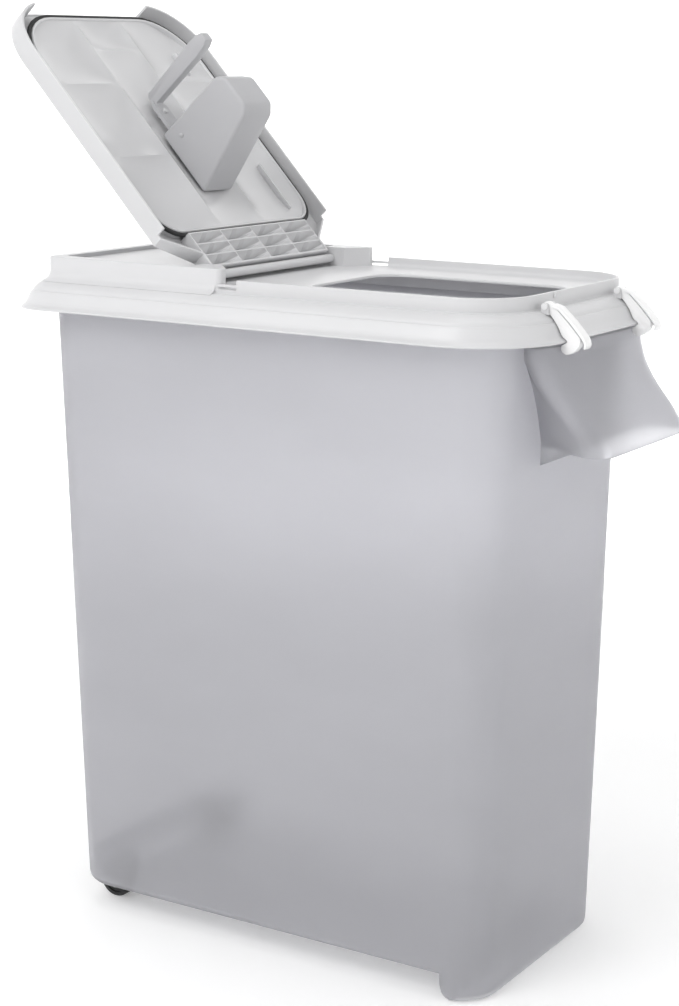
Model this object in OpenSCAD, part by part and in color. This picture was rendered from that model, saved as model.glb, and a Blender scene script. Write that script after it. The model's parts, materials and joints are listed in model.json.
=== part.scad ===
// Wheeled pet food bin: a tall translucent tub with a moulded hand hood and a
// front foot, a lid with a hinged pouring flap, a scoop stored under the flap,
// two snap hooks and two rear wheels. Millimetres, +Z up, +X to the front.

/* [Tub] */
// Height of the tub's rim above the ground
tub_rim_z = 581.5; // [560:0.5:600]
// Height of the raised bottom above the ground
tub_floor_z = 22; // [20:0.5:26]
// Length at the raised bottom
tub_bottom_l = 429; // [420:1:436]
// Length at the rim
tub_top_l = 453; // [448:1:456]
// Width at the raised bottom
tub_bottom_w = 238; // [232:1:242]
// Width at the rim
tub_top_w = 260; // [256:1:262]
// Radius of the upright corners
tub_corner_r = 38; // [34:1:42]
// Wall thickness
tub_wall = 2.6; // [2:0.1:3.2]

/* [Hand hood] */
// How far the hood's lip stands in front of the tub's rim
hood_reach = 75; // [70:1:80]
// Height of the hood's lower lip
hood_lip_z = 472; // [460:1:480]
// Width of the hood at its lip
hood_lip_w = 164; // [158:1:170]

/* [Lid] */
// Length of the upright lid wall
lid_l = 455; // [452:1:457]
// Width of the upright lid wall
lid_w = 251.2; // [250:0.2:252]
// How far the flared skirt stands out of the wall
skirt_reach = 26.1; // [24:0.1:28]
// Height of the skirt's lower edge
skirt_z = 559.8; // [559.6:0.1:562]
// Height of the ledge round the wall
ledge_z = 584.3; // [584.1:0.1:584.5]
// Height of the pouring collar
collar_z = 596.2; // [594:0.1:597]
// Height of the rear deck
deck_z = 604.7; // [604:0.1:606]
// Length of the pouring opening
pour_l = 190; // [180:1:192]
// Width of the pouring opening
pour_w = 142; // [130:1:150]

/* [Flap] */
// How far the flap stands open, measured from closed
open_angle = 132.7; // [0:0.1:132.7]
// Height of the hinge axis
hinge_z = 594.7; // [594.5:0.1:595]
// Distance from the hinge axis to the flap's free end
flap_reach = 302.6; // [301:0.1:303]
// Width of the flap
flap_w = 259; // [258.6:0.1:260]
// Depth of the flap's skirt below the hinge axis
flap_skirt = 10; // [9:0.1:10]

/* [Wheels] */
// Wheel radius
wheel_r = 17; // [16:0.5:18]
// Wheel width
wheel_w = 16; // [14:0.5:16]
// Axle radius
axle_r = 3.5; // [3:0.1:4]

/* [Hidden] */
$fn = 48;
hull_fn = 40;
eps = 0.01;
// clearance of a running shaft in its bore
run_fit = 0.07;

// tub ends, measured from the part's origin
tub_bottom_x0 = -221;
tub_bottom_x1 = tub_bottom_x0 + tub_bottom_l;
tub_top_x0 = -238;
tub_top_x1 = tub_top_x0 + tub_top_l;
rim_flange = 4;
rim_flange_h = 4;
rim_flange_z = tub_rim_z - 10;
floor_t = 3;

// foot under the front of the tub
foot_x0 = 171;

// hood levels: an upright band under the lid, then a flare to the lip
hood_top_z = skirt_z - 1;
hood_band_z = 546;
hood_mid_z = 512;
hood_band_x = 242;
hood_mid_x = 263;
hood_lip_x = tub_top_x1 + hood_reach;
hood_root_x = 205;
// the hood's side edges drop to this height where they meet the tub
hood_gusset_z = 454;
hood_gusset_x = 256;

// lid plan
lid_x0 = -234.5;
lid_x1 = lid_x0 + lid_l;
lid_hw = lid_w / 2;
lid_r0 = 10;
lid_r1 = 52;
lid_t = 2.5;
collar_t = 3;
ledge_w = 9.5;
flare_mid_w = 19;
flare_mid_z = 568;
flare_root_z = ledge_z - lid_t;
lip_depth = 12;
plug_r = 34.5;
pan_z = 587.8;
deck_front_x = -47.4;
tray_depth = 3.5;
tray_rim = 12.5;
tray_front_x = -84;
notch_x0 = -100.6;
notch_hw = 98;
notch_mouth_hw = 118;
collar_start_x = -30.5;
pour_x0 = -3;
pour_r = 26;

// flap, in its own frame: hinge axis at the origin, closed, underside down
hinge_x = -78.1;
flap_hw = flap_w / 2;
flap_top = 8.8;
flap_t = 2.6;
flap_wall = 2.4;
flap_r = 56;
wing_x = 42;
waist_x = 19;
waist_hw = 93;
panel_x0 = 2;
panel_floor = -5.2;
wing_floor = -6.2;
finger_gap_hw = 76;
barrel_r = 5.5;
barrel_hw = 97.4;
hinge_pin_r = 2.5;
hinge_pin_in = 76;
hinge_pin_out = 102;
pin_head_r = 4.2;
pin_head_t = 2.4;

liner_x0 = 46;
liner_x1 = 291.4;
liner_hw = 118;
liner_r0 = 28;
liner_r1 = 47;
liner_floor = -2.7;
liner_t = 2.4;
rib_y = 33.5;
rib_floor = 0.3;
gasket_w = 4.1;
gasket_z0 = -1.8;
gasket_z1 = 1.2;

// scoop, in the flap's frame: a cup with its mouth against the liner
cup_x0 = 87;
cup_x1 = 154;
cup_base_x0 = 117;
cup_hw = 22;
cup_top = 3.0;
cup_bottom = -86;
cup_shoulder = -77;
cup_t = 1.6;
strap_x1 = 199;
strap_hw = 9;
strap_t = 3;
handle_x0 = 187;
handle_hw = 5.5;
handle_bottom = -84;
peg_x = 178;
peg_r = 2.5;

// hooks, in their own frame: pivot at the origin, outward along +X
hook_x = 229.5;
hook_z = 588.3;
hook_y = 68;
hook_hw = 3.6;
hook_hub_r = 3.4;
hook_pin_r = 1.6;
hook_inner_r = 34.2;
hook_outer_r = 42;
ear_hw = 6.8;
ear_gap = 0.4;

// wheels
wheel_x = -197;
wheel_y = 79;
pocket_x0 = -216.5;
pocket_x1 = -177.5;
pocket_hw = 92.5;
pocket_top = 46;
lug_y0 = 60;
lug_y1 = 70.5;
lug_hw = 7;
cap_t = 4;
cap_r = 8;

// plan outline with rear corner radius r0 and front corner radius r1
module plan(x0, x1, hw, r0, r1) {
    translate([x0 + r0, -hw]) square([x1 - r1 - x0 - r0, 2 * hw]);
    translate([x0, -hw + r0]) square([r0 + eps, 2 * (hw - r0)]);
    translate([x1 - r1 - eps, -hw + r1]) square([r1 + eps, 2 * (hw - r1)]);
    for (s = [-1, 1]) {
        translate([x0 + r0, s * (hw - r0)]) circle(r0);
        translate([x1 - r1, s * (hw - r1)]) circle(r1);
    }
}

// points of a quarter turn of hull_fn steps a circle
function turn(cx, cy, r, a) = [for (i = [0:hull_fn / 4])
    [cx + r * cos(a + i * 360 / hull_fn), cy + r * sin(a + i * 360 / hull_fn)]];

// the same outline in straight steps, so that stacked forms share their corners
module step_plan(x0, x1, hw, r0, r1) {
    polygon(concat(turn(x1 - r1, hw - r1, r1, 0), turn(x0 + r0, hw - r0, r0, 90),
        turn(x0 + r0, r0 - hw, r0, 180), turn(x1 - r1, r1 - hw, r1, 270)));
}

// thin slab of a plan outline, for hulls
module slab(z, x0, x1, hw, r0, r1) {
    translate([0, 0, z]) linear_extrude(eps) step_plan(x0, x1, hw, r0, r1);
}

// lid wall outline grown by d
module lid_plan(d) {
    step_plan(lid_x0 - d, lid_x1 + d, lid_hw + d, max(lid_r0 + d, 4), lid_r1 + d);
}

module lid_slab(z, d) {
    slab(z, lid_x0 - d, lid_x1 + d, lid_hw + d, lid_r0 + d, lid_r1 + d);
}

// tapered tub body, shrunk by d on every side
module tub_body(z0, z1, d) {
    hull() {
        slab(z0, tub_bottom_x0 + d, tub_bottom_x1 - d, tub_bottom_w / 2 - d,
            tub_corner_r - d, tub_corner_r - d);
        slab(z1 - eps, tub_top_x0 + d, tub_top_x1 - d, tub_top_w / 2 - d,
            tub_corner_r - d, tub_corner_r - d);
    }
}

// hood outline: its side walls spread from the root to the rounded front corners
module hood_plan(x1, hw, root_hw, r) {
    polygon(concat(turn(x1 - r, hw - r, r, 0), [[hood_root_x, root_hw], [hood_root_x, -root_hw]],
        turn(x1 - r, r - hw, r, 270)));
}

module hood_slab(z, x1, hw, root_hw, r) {
    translate([0, 0, z]) linear_extrude(eps) hood_plan(x1, hw, root_hw, r);
}

// hood form, shrunk by d, from top_z down to end_z
module hood_form(top_z, end_z, d) {
    // sloping side walls need more shift across than their thickness
    across = 1.4 * d;
    lip_hw = hood_lip_w / 2;
    translate([0, 0, hood_band_z]) linear_extrude(top_z - hood_band_z)
        hood_plan(hood_band_x - d, 95 - d, 60 - across, 12 - d);
    hull() {
        hood_slab(hood_band_z, hood_band_x - d, 95 - d, 60 - across, 12 - d);
        hood_slab(hood_mid_z, hood_mid_x - d, 86 - d, 48 - across, 14 - d);
    }
    hull() {
        hood_slab(hood_mid_z, hood_mid_x - d, 86 - d, 48 - across, 14 - d);
        hood_slab(hood_lip_z, hood_lip_x - d, lip_hw - d, 36 - across, 15 - d);
    }
    translate([0, 0, end_z]) linear_extrude(hood_lip_z + eps - end_z)
        hood_plan(hood_lip_x - d, lip_hw - d, 36 - across, 15 - d);
}

// room below the hood: level under the lip, sloping down to the tub at the sides
module hood_trim() {
    drop = (hood_lip_z - hood_gusset_z) / (hood_gusset_x - tub_top_x1);
    translate([0, 200, 0]) rotate([90, 0, 0]) linear_extrude(400) polygon([
        [hood_gusset_x, hood_lip_z], [hood_gusset_x + 80, hood_lip_z],
        [hood_gusset_x + 80, hood_gusset_z - 30], [hood_root_x - 20, hood_gusset_z - 30],
        [hood_root_x - 20, hood_lip_z - drop * (hood_gusset_x - hood_root_x + 20)]]);
}

// foot form: the front end of the tub's outline, shrunk by d
module foot_form(d, z0) {
    translate([0, 0, z0]) linear_extrude(tub_floor_z + floor_t - z0) intersection() {
        step_plan(tub_bottom_x0 + d, tub_bottom_x1 - d, tub_bottom_w / 2 - d,
            tub_corner_r - d, tub_corner_r - d);
        translate([foot_x0 + d, -tub_bottom_w]) square(2 * tub_bottom_w);
    }
}

module axle_lug(side) {
    translate([wheel_x - lug_hw, side > 0 ? lug_y0 : -lug_y1, wheel_r])
        cube([2 * lug_hw, lug_y1 - lug_y0, pocket_top - wheel_r + 1]);
    translate([wheel_x, side * (lug_y0 + lug_y1) / 2, wheel_r]) rotate([90, 0, 0])
        cylinder(r = lug_hw, h = lug_y1 - lug_y0, center = true);
}

module tub() {
    color([0.78, 0.79, 0.80, 0.55])
    difference() {
        union() {
            difference() {
                union() {
                    tub_body(tub_floor_z, tub_rim_z, 0);
                    difference() {
                        hood_form(hood_top_z, hood_gusset_z - 10, 0);
                        hood_trim();
                    }
                    foot_form(0, 0);
                    translate([0, 0, rim_flange_z])
                        linear_extrude(rim_flange_h)
                        plan(tub_top_x0 - rim_flange, tub_top_x1 + rim_flange,
                            tub_top_w / 2 + rim_flange,
                            tub_corner_r + rim_flange, tub_corner_r + rim_flange);
                }
                difference() {
                    hood_form(hood_top_z - tub_wall, hood_gusset_z - 20, tub_wall);
                    translate([0, 0, -1]) linear_extrude(700)
                        plan(tub_top_x0 - 20, tub_top_x1 - 2, tub_top_w / 2 + 20,
                            tub_corner_r, tub_corner_r);
                }
                tub_body(tub_floor_z + floor_t, tub_rim_z + 2, tub_wall);
                foot_form(tub_wall, tub_wall);
            }
            translate([pocket_x0 - 2, -pocket_hw - tub_wall, tub_floor_z])
                cube([pocket_x1 - pocket_x0 + 2 + tub_wall,
                    2 * (pocket_hw + tub_wall), pocket_top + tub_wall - tub_floor_z]);
        }
        translate([pocket_x0, -pocket_hw, 0])
            cube([pocket_x1 - pocket_x0, 2 * pocket_hw, pocket_top]);
    }
    color([0.78, 0.79, 0.80, 0.55])
    difference() {
        for (s = [-1, 1]) axle_lug(s);
        translate([wheel_x, 0, wheel_r]) rotate([90, 0, 0])
            cylinder(r = axle_r + 0.03, h = 2 * lug_y1 + 10, center = true);
    }
}

// solid block of the deck, behind its front face
module deck_block(d, z0, z1) {
    translate([0, 0, z0]) linear_extrude(z1 - z0) intersection() {
        lid_plan(-d);
        translate([-300, -200]) square([300 + deck_front_x, 400]);
    }
}

// room for the flap's hinge end in the deck
module notch() {
    translate([0, 0, pan_z]) linear_extrude(40) polygon([
        [notch_x0, -notch_hw], [-64, -notch_hw], [deck_front_x + 1, -notch_mouth_hw],
        [deck_front_x + 1, notch_mouth_hw], [-64, notch_hw], [notch_x0, notch_hw]]);
}

module hook_ears(side) {
    for (e = [-1, 1]) translate([hook_x, side * hook_y + e * (hook_hw + ear_gap), 0]) {
        w = ear_hw - hook_hw - ear_gap;
        translate([0, e > 0 ? 0 : -w, 0]) {
            translate([-3.5, 0, flare_root_z - 2]) cube([7, w, hook_z - flare_root_z + 2]);
            translate([0, w, hook_z]) rotate([90, 0, 0]) cylinder(r = 3.5, h = w);
        }
    }
}

module flare(d) {
    hull() {
        lid_slab(flare_mid_z, flare_mid_w - d);
        lid_slab(ledge_z - eps - (d > 0 ? lid_t : 0), ledge_w - d);
    }
    hull() {
        lid_slab(skirt_z + 1, skirt_reach - d);
        lid_slab(flare_mid_z, flare_mid_w - d);
    }
    translate([0, 0, skirt_z - (d > 0 ? 1 : 0)]) linear_extrude(1 + (d > 0 ? 1 : 0))
        lid_plan(skirt_reach - d);
}

module lid_frame() {
    color([0.93, 0.93, 0.94])
    difference() {
        union() {
            // flared skirt
            difference() {
                flare(0);
                flare(lid_t);
            }
            // base plate and plug lip that drops into the tub
            translate([0, 0, flare_root_z]) linear_extrude(pan_z - flare_root_z)
                difference() {
                    lid_plan(-1);
                    plan(lid_x0 + 11, tub_top_x1 - 15, lid_hw - 9, plug_r - 9, plug_r - 9);
                }
            translate([0, 0, flare_root_z - lip_depth + eps]) linear_extrude(lip_depth)
                difference() {
                    plan(lid_x0, tub_top_x1 - 4, lid_hw, plug_r, plug_r);
                    plan(lid_x0 + lid_t, tub_top_x1 - 4 - lid_t, lid_hw - lid_t,
                        plug_r - lid_t, plug_r - lid_t);
                }
            // ledge
            translate([0, 0, flare_root_z]) linear_extrude(lid_t)
                difference() {
                    lid_plan(ledge_w);
                    lid_plan(-2);
                }
            // pouring pan
            translate([0, 0, pan_z - lid_t]) linear_extrude(lid_t)
                difference() {
                    lid_plan(-1);
                    translate([-300, -200]) square([300 + notch_x0 - lid_t, 400]);
                }
            // collar round the pan
            translate([0, 0, flare_root_z]) linear_extrude(collar_z - flare_root_z)
                difference() {
                    lid_plan(0);
                    lid_plan(-collar_t);
                    translate([-300, -200]) square([300 + collar_start_x, 400]);
                }
            // low wall between the collar and the deck
            translate([0, 0, flare_root_z]) linear_extrude(pan_z - flare_root_z)
                difference() {
                    lid_plan(0);
                    lid_plan(-collar_t);
                }
            // rear deck
            difference() {
                deck_block(0, ledge_z - 1, deck_z);
                // hollow of the deck, behind the notch and inside its cheeks
                intersection() {
                    deck_block(lid_t, flare_root_z - 5, deck_z - tray_depth - lid_t);
                    translate([-300, -200, 500])
                        cube([300 + notch_x0 - lid_t, 400, 200]);
                }
                for (s = [-1, 1]) translate([notch_x0, s * 112 - 10, 500])
                    cube([36, 20, deck_z - tray_depth - lid_t - 500]);
                // tray on top
                translate([0, 0, deck_z - tray_depth]) linear_extrude(10)
                    plan(lid_x0 + tray_rim, tray_front_x, lid_hw - tray_rim, 6, 3);
            }
            for (s = [-1, 1]) hook_ears(s);
        }
        notch();
        // pouring opening
        translate([0, 0, 500]) linear_extrude(200)
            plan(pour_x0, pour_x0 + pour_l, pour_w / 2, pour_r, pour_r);
        // hinge pin holes
        translate([hinge_x, 0, hinge_z]) rotate([90, 0, 0])
            cylinder(r = hinge_pin_r, h = 2 * (hinge_pin_out + eps), center = true);
        // hook pin holes
        for (s = [-1, 1]) translate([hook_x, s * hook_y, hook_z]) rotate([90, 0, 0])
            cylinder(r = hook_pin_r, h = 2 * ear_hw + 1, center = true);
    }
}

// carries flap parts from the closed flap frame to the open flap
module on_flap() {
    translate([hinge_x, 0, hinge_z]) rotate([0, -open_angle, 0]) children();
}

// wings and field of the flap, shrunk by d
module flap_outline(d) {
    difference() {
        plan(panel_x0, flap_reach - d, flap_hw - d, 1, flap_r - d);
        for (s = [-1, 1]) scale([1, s]) polygon([
            [-20, waist_hw - d * 0.6], [waist_x + d * 0.4, waist_hw - d * 0.6],
            [wing_x + d, flap_hw - d * 0.5], [wing_x + d, flap_hw + 30], [-20, flap_hw + 30]]);
    }
}

module flap_shell() {
    color([0.95, 0.95, 0.96])
    on_flap() difference() {
        union() {
            translate([0, 0, flap_top - flap_t]) linear_extrude(flap_t) flap_outline(0);
            // side skirts, open at the free end for the fingers
            difference() {
                translate([0, 0, -flap_skirt]) linear_extrude(flap_skirt + flap_top - 1)
                    difference() {
                        flap_outline(0);
                        flap_outline(flap_wall);
                    }
                translate([200, -finger_gap_hw, -flap_skirt - 1])
                    cube([200, 2 * finger_gap_hw, flap_skirt + flap_top - flap_t + 1]);
                translate([-20, -200, -flap_skirt - 1])
                    cube([20 + wing_x + 4, 400, flap_skirt + 1 + wing_floor]);
            }
            // waffle panel: ribs both ways
            for (y = [-2:2]) translate([panel_x0, y * (waist_hw - 1) / 2 - 1, panel_floor])
                cube([liner_x0 - 5 - panel_x0, 2, flap_top - 1 - panel_floor]);
            for (x = [15, 27.5, 40]) translate([x - 1, -waist_hw + 1, panel_floor])
                cube([2, 2 * waist_hw - 2, flap_top - 1 - panel_floor]);
            // hinge barrel
            rotate([90, 0, 0]) cylinder(r = barrel_r, h = 2 * barrel_hw, center = true);
            translate([0, -waist_hw, 0]) cube([8, 2 * waist_hw, flap_top - 0.5]);
        }
        for (s = [-1, 1]) translate([0, s * (hinge_pin_in + 20), 0]) rotate([90, 0, 0])
            cylinder(r = hinge_pin_r + run_fit, h = 42, center = true);
    }
}

module liner_plan(d) {
    plan(liner_x0 + d, liner_x1 - d, liner_hw - d, liner_r0 - d, liner_r1 - d);
}

module flap_liner() {
    color([0.90, 0.90, 0.91])
    on_flap() {
        top = flap_top - flap_t;
        difference() {
            translate([0, 0, liner_floor]) linear_extrude(top - liner_floor) liner_plan(0);
            translate([0, 0, liner_floor - 1]) linear_extrude(top - liner_floor - liner_t + 1)
                liner_plan(liner_t);
        }
        // two long ribs and the cross ribs of the outer cells
        for (s = [-1, 1]) translate([liner_x0 + 2, s * rib_y - 1.5, rib_floor])
            cube([liner_x1 - liner_x0 - 4, 3, top - liner_t - rib_floor + 0.5]);
        for (s = [-1, 1]) for (x = [131, 214]) translate([x - 1.5,
            s > 0 ? rib_y : -liner_hw + 2, rib_floor])
            cube([3, liner_hw - 2 - rib_y, top - liner_t - rib_floor + 0.5]);
        translate([253, -rib_y, rib_floor]) cube([3, 2 * rib_y, top - liner_t - rib_floor + 0.5]);
    }
}

module flap_gasket() {
    color([0.05, 0.05, 0.05])
    on_flap() translate([0, 0, gasket_z0]) linear_extrude(gasket_z1 - gasket_z0)
        difference() {
            liner_plan(-gasket_w);
            liner_plan(0);
        }
}

module hinge_pin(side) {
    color([0.85, 0.85, 0.86])
    translate([hinge_x, side * hinge_pin_in, hinge_z]) rotate([-90 * side, 0, 0]) {
        cylinder(r = hinge_pin_r, h = hinge_pin_out - hinge_pin_in + eps);
        translate([0, 0, hinge_pin_out - hinge_pin_in]) cylinder(r = pin_head_r, h = pin_head_t);
    }
}

module hinge_pin_right() { hinge_pin(-1); }

module hinge_pin_left() { hinge_pin(1); }

// cup profile: length against height, narrowing to the cup's bottom
module cup_profile(d) {
    polygon([[cup_x0 + d, cup_top + (d > 0 ? 5 : 0)], [cup_x1 - d, cup_top + (d > 0 ? 5 : 0)],
        [cup_x1 - d, cup_shoulder + d], [cup_x1 - 9, cup_bottom + d],
        [cup_base_x0 + 5, cup_bottom + d], [cup_base_x0 - 5 + d, cup_shoulder + d]]);
}

module scoop() {
    color([0.70, 0.70, 0.71])
    on_flap() difference() {
        union() {
            // cup
            translate([0, cup_hw, 0]) rotate([90, 0, 0]) linear_extrude(2 * cup_hw)
                cup_profile(0);
            // strap and bent-down handle
            translate([cup_x1 - 1, -strap_hw, cup_top - strap_t - 4])
                cube([strap_x1 - cup_x1 + 1, 2 * strap_hw, strap_t]);
            translate([0, handle_hw, 0]) rotate([90, 0, 0]) linear_extrude(2 * handle_hw)
                polygon([[handle_x0, cup_top - 4], [strap_x1, cup_top - 4],
                    [strap_x1 + 3, -68], [handle_x0 + 4, handle_bottom], [handle_x0, -66]]);
        }
        translate([0, cup_hw - cup_t, 0]) rotate([90, 0, 0])
            linear_extrude(2 * (cup_hw - cup_t)) cup_profile(cup_t);
        // peg hole in the strap
        translate([peg_x, 0, -20]) cylinder(r = peg_r + run_fit, h = 40);
    }
}

module scoop_peg() {
    color([0.92, 0.92, 0.93])
    on_flap() translate([peg_x, 0, cup_top - strap_t - 6])
        cylinder(r = peg_r, h = flap_top - flap_t - liner_t - (cup_top - strap_t - 6));
}

// hook outline in the upright plane, pivot at the origin
module hook_outline() {
    difference() {
        union() {
            circle(hook_hub_r);
            polygon([[-2.4, 2.4], [13, 2.6], [36, -22.5], [36.5, -25], [35, -28], [20, -28],
                [3.2, -1.2]]);
            intersection() {
                circle(hook_outer_r);
                polygon([[14, -26], [14, -60], [60, -60], [60, -22], [20, -22]]);
            }
        }
        // clearance round the skirt's edge, swept by the opening hook
        intersection() {
            circle(hook_inner_r);
            polygon([[4.3, -5.3], [13.2, -21], [18, -26.2], [21.9, -26.2], [21.9, -60], [0, -60]]);
        }
    }
}

module hook(side) {
    color([0.98, 0.98, 0.98])
    translate([hook_x, side * hook_y, hook_z]) difference() {
        union() {
            translate([0, hook_hw, 0]) rotate([90, 0, 0]) linear_extrude(2 * hook_hw)
                hook_outline();
            // thumb tab, on the same flank of both hooks
            translate([33, hook_hw, -24]) rotate([-90, 0, 0]) cylinder(r = 3.6, h = 4);
        }
        rotate([90, 0, 0]) cylinder(r = hook_pin_r + run_fit, h = 30, center = true);
    }
}

module hook_right() { hook(-1); }

module hook_left() { hook(1); }

module hook_pin(side) {
    color([0.97, 0.97, 0.97])
    translate([hook_x, side * hook_y, hook_z]) rotate([90, 0, 0]) {
        cylinder(r = hook_pin_r, h = 2 * ear_hw, center = true);
        for (s = [-1, 1]) translate([0, 0, s * (ear_hw + 0.6)])
            cylinder(r = 2.6, h = 1.2, center = true);
    }
}

module hook_pin_right() { hook_pin(-1); }

module hook_pin_left() { hook_pin(1); }

module axle() {
    color([0.6, 0.6, 0.62])
    translate([wheel_x, 0, wheel_r]) rotate([90, 0, 0])
        cylinder(r = axle_r, h = 2 * (wheel_y + wheel_w / 2 + cap_t - 0.5), center = true);
}

module wheel(side) {
    color([0.06, 0.06, 0.06])
    translate([wheel_x, side * wheel_y, wheel_r]) rotate([90, 0, 0])
        rotate_extrude($fn = 64) polygon([
            [axle_r + run_fit, -wheel_w / 2], [8, -wheel_w / 2], [8.5, -wheel_w / 2 + 2],
            [13, -wheel_w / 2 + 2], [13.5, -wheel_w / 2], [wheel_r - 1.5, -wheel_w / 2],
            [wheel_r, -wheel_w / 2 + 1.5], [wheel_r, wheel_w / 2 - 1.5],
            [wheel_r - 1.5, wheel_w / 2], [13.5, wheel_w / 2], [13, wheel_w / 2 - 2],
            [8.5, wheel_w / 2 - 2], [8, wheel_w / 2], [axle_r + run_fit, wheel_w / 2]]);
}

module wheel_right() { wheel(-1); }

module wheel_left() { wheel(1); }

module axle_cap(side) {
    color([0.65, 0.65, 0.67])
    translate([wheel_x, side * (wheel_y + wheel_w / 2 + 0.4), wheel_r])
        rotate([-90 * side, 0, 0]) difference() {
            union() {
                cylinder(r = cap_r, h = 1.2);
                cylinder(r = axle_r + 1.5, h = cap_t);
            }
            translate([0, 0, -1]) cylinder(r = axle_r, h = cap_t);
        }
}

module axle_cap_right() { axle_cap(-1); }

module axle_cap_left() { axle_cap(1); }

tub();
lid_frame();
flap_shell();
flap_liner();
flap_gasket();
hinge_pin_right();
hinge_pin_left();
scoop();
scoop_peg();
hook_right();
hook_left();
hook_pin_right();
hook_pin_left();
axle();
wheel_right();
wheel_left();
axle_cap_right();
axle_cap_left();
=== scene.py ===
"""Wheeled pet food bin: the finished looks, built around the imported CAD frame.

Row frame in metres: +X to the front, +Z up, the ground at z = 0. Lengths below are written in
millimetres and scaled once, when a mesh is made. Small offsets are measured from the CAD boxes.
"""

import json
import math

import bmesh
import bpy
from mathutils import Matrix, Vector


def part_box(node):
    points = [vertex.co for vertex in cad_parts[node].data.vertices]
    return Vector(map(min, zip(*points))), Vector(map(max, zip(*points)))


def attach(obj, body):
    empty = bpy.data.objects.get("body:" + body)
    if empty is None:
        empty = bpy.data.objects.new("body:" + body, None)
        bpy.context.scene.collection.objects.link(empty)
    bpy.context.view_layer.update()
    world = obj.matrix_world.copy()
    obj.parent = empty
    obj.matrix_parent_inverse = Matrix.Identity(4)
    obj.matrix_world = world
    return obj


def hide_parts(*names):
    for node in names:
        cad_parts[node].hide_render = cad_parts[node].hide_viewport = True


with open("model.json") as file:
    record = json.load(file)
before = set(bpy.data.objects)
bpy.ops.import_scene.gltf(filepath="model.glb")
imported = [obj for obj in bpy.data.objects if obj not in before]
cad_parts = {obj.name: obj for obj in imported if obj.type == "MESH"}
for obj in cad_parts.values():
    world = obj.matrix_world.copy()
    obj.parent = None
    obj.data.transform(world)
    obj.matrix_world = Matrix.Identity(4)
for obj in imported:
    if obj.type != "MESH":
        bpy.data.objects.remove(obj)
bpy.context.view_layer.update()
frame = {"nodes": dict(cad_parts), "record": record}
MM = 0.001


def span(node):
    """Lowest and highest corner of a CAD node, in millimetres."""
    low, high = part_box(node)
    return low / MM, high / MM


# ---------------------------------------------------------------- camera

CAM_AZIMUTH = math.radians(31.8)
CAM_ELEVATION = math.radians(12.2)
CAM_ROLL = math.radians(0.5)
CAM_DISTANCE = 1.8957
CAM_TARGET = Vector((-0.0056, 0.0, 0.3877))
CAM_LENS = 75.81


def make_camera():
    """Sets up the camera from its direction, distance, aim and roll."""
    flat = math.cos(CAM_ELEVATION)
    back = Vector((math.sin(CAM_AZIMUTH) * flat, -math.cos(CAM_AZIMUTH) * flat,
                   math.sin(CAM_ELEVATION)))
    right = Vector((0, 0, 1)).cross(back).normalized()
    up = back.cross(right)
    rolled_right = right * math.cos(CAM_ROLL) + up * math.sin(CAM_ROLL)
    rolled_up = up * math.cos(CAM_ROLL) - right * math.sin(CAM_ROLL)
    data = bpy.data.cameras.new("camera")
    data.sensor_width = 36
    data.lens = CAM_LENS
    data.clip_end = 60
    camera = bpy.data.objects.new("camera", data)
    turn = Matrix((rolled_right, rolled_up, back)).transposed().to_4x4()
    camera.matrix_world = Matrix.Translation(CAM_TARGET + back * CAM_DISTANCE) @ turn
    bpy.context.scene.collection.objects.link(camera)
    bpy.context.scene.camera = camera


make_camera()

# ---------------------------------------------------------------- materials


def node_material(name):
    """A new material with its node tree and its main shader."""
    material = bpy.data.materials.new(name)
    material.use_nodes = True
    tree = material.node_tree
    shader = tree.nodes["Principled BSDF"]
    return material, tree, shader


def noise(tree, scale, detail=4.0, stretch=(1, 1, 1)):
    """Value of a noise pattern fixed to the object."""
    coords = tree.nodes.new("ShaderNodeTexCoord")
    mapping = tree.nodes.new("ShaderNodeMapping")
    mapping.inputs["Scale"].default_value = stretch
    texture = tree.nodes.new("ShaderNodeTexNoise")
    texture.inputs["Scale"].default_value = scale
    texture.inputs["Detail"].default_value = detail
    tree.links.new(coords.outputs["Object"], mapping.inputs["Vector"])
    tree.links.new(mapping.outputs["Vector"], texture.inputs["Vector"])
    return texture.outputs["Fac"]


def spread(tree, value, low, high):
    """A noise value carried to the range low to high."""
    node = tree.nodes.new("ShaderNodeMapRange")
    node.inputs["From Min"].default_value = 0.3
    node.inputs["From Max"].default_value = 0.7
    node.inputs["To Min"].default_value = low
    node.inputs["To Max"].default_value = high
    tree.links.new(value, node.inputs["Value"])
    return node.outputs["Result"]


def tone(tree, value, colour, change):
    """The colour, darker by up to change where the noise is low."""
    mix = tree.nodes.new("ShaderNodeMix")
    mix.data_type = "RGBA"
    mix.inputs["A"].default_value = (*[c * (1 - change) for c in colour], 1)
    mix.inputs["B"].default_value = (*colour, 1)
    tree.links.new(value, mix.inputs["Factor"])
    return mix.outputs["Result"]


def plastic(name, colour, rough, change=0.03, grain=0.00001, grain_scale=900, gloss=0.5):
    """Moulded plastic: faint flow marks in the colour, uneven sheen and a fine grain."""
    material, tree, shader = node_material(name)
    flow = noise(tree, 9, 3, (1, 1, 2.5))
    tree.links.new(tone(tree, spread(tree, flow, 0, 1), colour, change),
                   shader.inputs["Base Color"])
    sheen = noise(tree, 45, 5)
    tree.links.new(spread(tree, sheen, rough - 0.02, rough + 0.02),
                   shader.inputs["Roughness"])
    bump = tree.nodes.new("ShaderNodeBump")
    bump.inputs["Distance"].default_value = grain
    bump.inputs["Strength"].default_value = 1.0
    tree.links.new(noise(tree, grain_scale, 2), bump.inputs["Height"])
    tree.links.new(bump.outputs["Normal"], shader.inputs["Normal"])
    shader.inputs["Specular IOR Level"].default_value = gloss
    return material


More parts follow.
